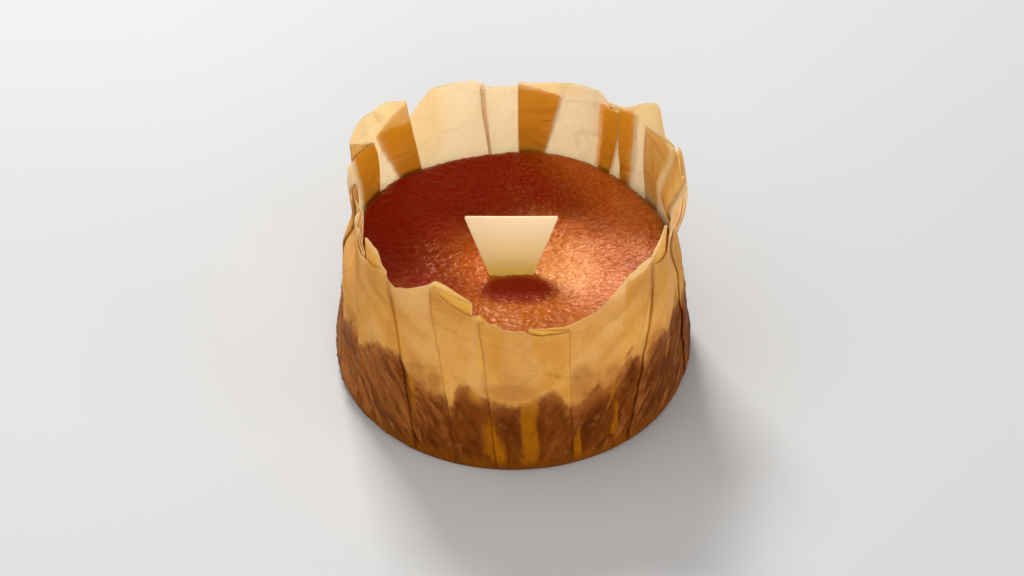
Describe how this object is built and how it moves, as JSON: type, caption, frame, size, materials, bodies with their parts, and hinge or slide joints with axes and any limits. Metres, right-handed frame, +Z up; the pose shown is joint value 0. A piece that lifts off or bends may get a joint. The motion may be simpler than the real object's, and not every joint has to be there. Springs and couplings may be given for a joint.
{
  "type": "baked cheesecake",
  "caption": "Small round baked cheesecake with a browned, sunken top, standing in pleated baking paper with a blank card pushed into the top.",
  "frame": {"origin": "middle of the flat foot that the paper rests on", "axes": "+Z up, the card's face looks towards -Y, +X to the right seen from there"},
  "size_m": [0.1213, 0.1226, 0.0828],
  "materials": {
    "baked_skin": "baked mahogany skin, moist, fine wrinkles",
    "baking_paper": "translucent golden baking paper, soaked brown low down",
    "card": "thin card, satin pale gold"
  },
  "bodies": {
    "root": {"cheesecake": "baked_skin", "baking_paper": "baking_paper", "card": "card"}
  },
  "joints": []
}
